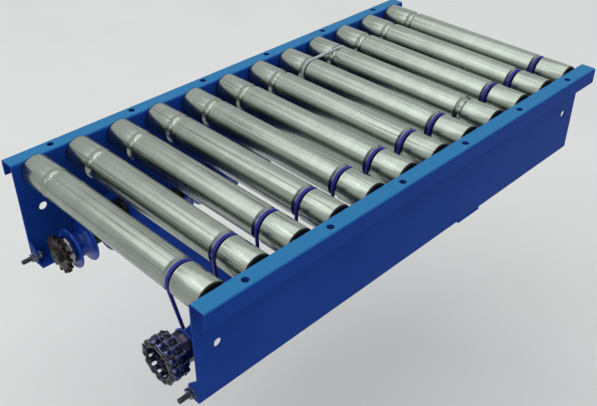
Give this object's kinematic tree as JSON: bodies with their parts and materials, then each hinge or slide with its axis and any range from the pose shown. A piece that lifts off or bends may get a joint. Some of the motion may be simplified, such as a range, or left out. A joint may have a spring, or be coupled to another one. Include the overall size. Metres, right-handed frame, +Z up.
{
  "type": "powered roller conveyor section",
  "caption": "Blue powered roller conveyor section with grooved rollers, quarter-turn round belts, two line shafts with spools and a double roller-chain shaft coupling.",
  "frame": {"origin": "midway along and between the side rails, level with their top flanges", "axes": "+X along the section away from the chain coupling, +Y towards the far rail, +Z up"},
  "size_m": [0.9225, 0.471, 0.1883],
  "materials": {
    "rail_paint": "semi-gloss blue powder coat",
    "channel_paint": "semi-gloss blue powder coat",
    "dark_zinc": "dark plated",
    "zinc": "zinc plated",
    "black_steel": "satin black",
    "bronze": "turned bearing metal",
    "axle_steel": "drawn steel",
    "belt": "smooth polyurethane, dark blue",
    "band": "smooth polyurethane, pale grey",
    "roller_steel": "ground and zinc plated tube",
    "cap_plastic": "black moulded",
    "spool_plastic": "smooth moulded, dark blue",
    "sprocket_black": "blackened",
    "sprocket_steel": "hardened steel",
    "bright_steel": "bright turned",
    "chain_steel": "oiled blue-grey steel"
  },
  "bodies": {
    "frame": {"near_side_rail": "rail_paint", "far_side_rail": "rail_paint", "cross_channel_front": "channel_paint", "cross_channel_rear": "channel_paint", "cross_channel_screws": "dark_zinc", "drive_channel": "channel_paint", "drive_channel_screws": "dark_zinc", "drive_channel_nuts": "dark_zinc", "joint_studs": "dark_zinc", "joint_nuts": "dark_zinc", "joint_washers": "zinc", "bearing_plates": "black_steel", "bearing_bushes": "bronze", "bearing_screws": "dark_zinc", "roller_axles": "axle_steel", "roller_cones": "axle_steel", "drive_belts": "belt", "slave_band": "band"},
    "roller_01": {"roller_01_tube": "roller_steel", "roller_01_caps": "cap_plastic"},
    "roller_02": {"roller_02_tube": "roller_steel", "roller_02_caps": "cap_plastic"},
    "roller_03": {"roller_03_tube": "roller_steel", "roller_03_caps": "cap_plastic"},
    "roller_04": {"roller_04_tube": "roller_steel", "roller_04_caps": "cap_plastic"},
    "roller_05": {"roller_05_tube": "roller_steel", "roller_05_caps": "cap_plastic"},
    "roller_06": {"roller_06_tube": "roller_steel", "roller_06_caps": "cap_plastic"},
    "roller_07": {"roller_07_tube": "roller_steel", "roller_07_caps": "cap_plastic"},
    "roller_08": {"roller_08_tube": "roller_steel", "roller_08_caps": "cap_plastic"},
    "roller_09": {"roller_09_tube": "roller_steel", "roller_09_caps": "cap_plastic"},
    "roller_10": {"roller_10_tube": "roller_steel", "roller_10_caps": "cap_plastic"},
    "roller_11": {"roller_11_tube": "roller_steel", "roller_11_caps": "cap_plastic"},
    "roller_12": {"roller_12_tube": "roller_steel", "roller_12_caps": "cap_plastic"},
    "near_shaft": {"near_line_shaft": "black_steel", "near_spools": "spool_plastic", "drive_sprocket": "sprocket_black", "exit_sprocket": "sprocket_black", "coupling_sprocket": "sprocket_steel", "coupling_hub": "bright_steel", "chain_inner_plates": "chain_steel", "chain_outer_plates": "chain_steel", "chain_bushes": "chain_steel", "chain_rollers": "chain_steel", "chain_pins": "chain_steel"},
    "far_shaft": {"far_line_shaft": "black_steel", "far_spools": "spool_plastic", "far_sprocket": "sprocket_black", "far_hub": "bright_steel"}
  },
  "joints": [
    {"name": "near_line_shaft_spin", "type": "hinge", "parent": "frame", "child": "near_shaft", "pos_m": [0, -0.143, -0.137], "axis": [1, 0, 0], "continuous": true},
    {"name": "far_line_shaft_spin", "type": "hinge", "parent": "frame", "child": "far_shaft", "pos_m": [0, 0.143, -0.137], "axis": [1, 0, 0], "continuous": true},
    {"name": "roller_01_spin", "type": "hinge", "parent": "frame", "child": "roller_01", "pos_m": [-0.4125, 0, -0.02], "axis": [0, 1, 0], "continuous": true},
    {"name": "roller_02_spin", "type": "hinge", "parent": "frame", "child": "roller_02", "pos_m": [-0.3375, 0, -0.02], "axis": [0, 1, 0], "continuous": true},
    {"name": "roller_03_spin", "type": "hinge", "parent": "frame", "child": "roller_03", "pos_m": [-0.2625, 0, -0.02], "axis": [0, 1, 0], "continuous": true},
    {"name": "roller_04_spin", "type": "hinge", "parent": "frame", "child": "roller_04", "pos_m": [-0.1875, 0, -0.02], "axis": [0, 1, 0], "continuous": true},
    {"name": "roller_05_spin", "type": "hinge", "parent": "frame", "child": "roller_05", "pos_m": [-0.1125, 0, -0.02], "axis": [0, 1, 0], "continuous": true},
    {"name": "roller_06_spin", "type": "hinge", "parent": "frame", "child": "roller_06", "pos_m": [-0.0375, 0, -0.02], "axis": [0, 1, 0], "continuous": true},
    {"name": "roller_07_spin", "type": "hinge", "parent": "frame", "child": "roller_07", "pos_m": [0.0375, 0, -0.02], "axis": [0, 1, 0], "continuous": true},
    {"name": "roller_08_spin", "type": "hinge", "parent": "frame", "child": "roller_08", "pos_m": [0.1125, 0, -0.02], "axis": [0, 1, 0], "continuous": true},
    {"name": "roller_09_spin", "type": "hinge", "parent": "frame", "child": "roller_09", "pos_m": [0.1875, 0, -0.02], "axis": [0, 1, 0], "continuous": true},
    {"name": "roller_10_spin", "type": "hinge", "parent": "frame", "child": "roller_10", "pos_m": [0.2625, 0, -0.02], "axis": [0, 1, 0], "continuous": true},
    {"name": "roller_11_spin", "type": "hinge", "parent": "frame", "child": "roller_11", "pos_m": [0.3375, 0, -0.02], "axis": [0, 1, 0], "continuous": true},
    {"name": "roller_12_spin", "type": "hinge", "parent": "frame", "child": "roller_12", "pos_m": [0.4125, 0, -0.02], "axis": [0, 1, 0], "continuous": true}
  ],
  "couplings": [
    {"joint": "roller_01_spin", "follows": "near_line_shaft_spin", "ratio": 1},
    {"joint": "roller_02_spin", "follows": "near_line_shaft_spin", "ratio": 1},
    {"joint": "roller_03_spin", "follows": "near_line_shaft_spin", "ratio": 1},
    {"joint": "roller_04_spin", "follows": "near_line_shaft_spin", "ratio": 1},
    {"joint": "roller_05_spin", "follows": "near_line_shaft_spin", "ratio": 1},
    {"joint": "roller_06_spin", "follows": "near_line_shaft_spin", "ratio": 1},
    {"joint": "roller_07_spin", "follows": "near_line_shaft_spin", "ratio": 1},
    {"joint": "roller_08_spin", "follows": "near_line_shaft_spin", "ratio": 1},
    {"joint": "roller_09_spin", "follows": "near_line_shaft_spin", "ratio": 1},
    {"joint": "roller_10_spin", "follows": "near_line_shaft_spin", "ratio": 1},
    {"joint": "roller_11_spin", "follows": "near_line_shaft_spin", "ratio": 1},
    {"joint": "roller_12_spin", "follows": "near_line_shaft_spin", "ratio": 1}
  ]
}
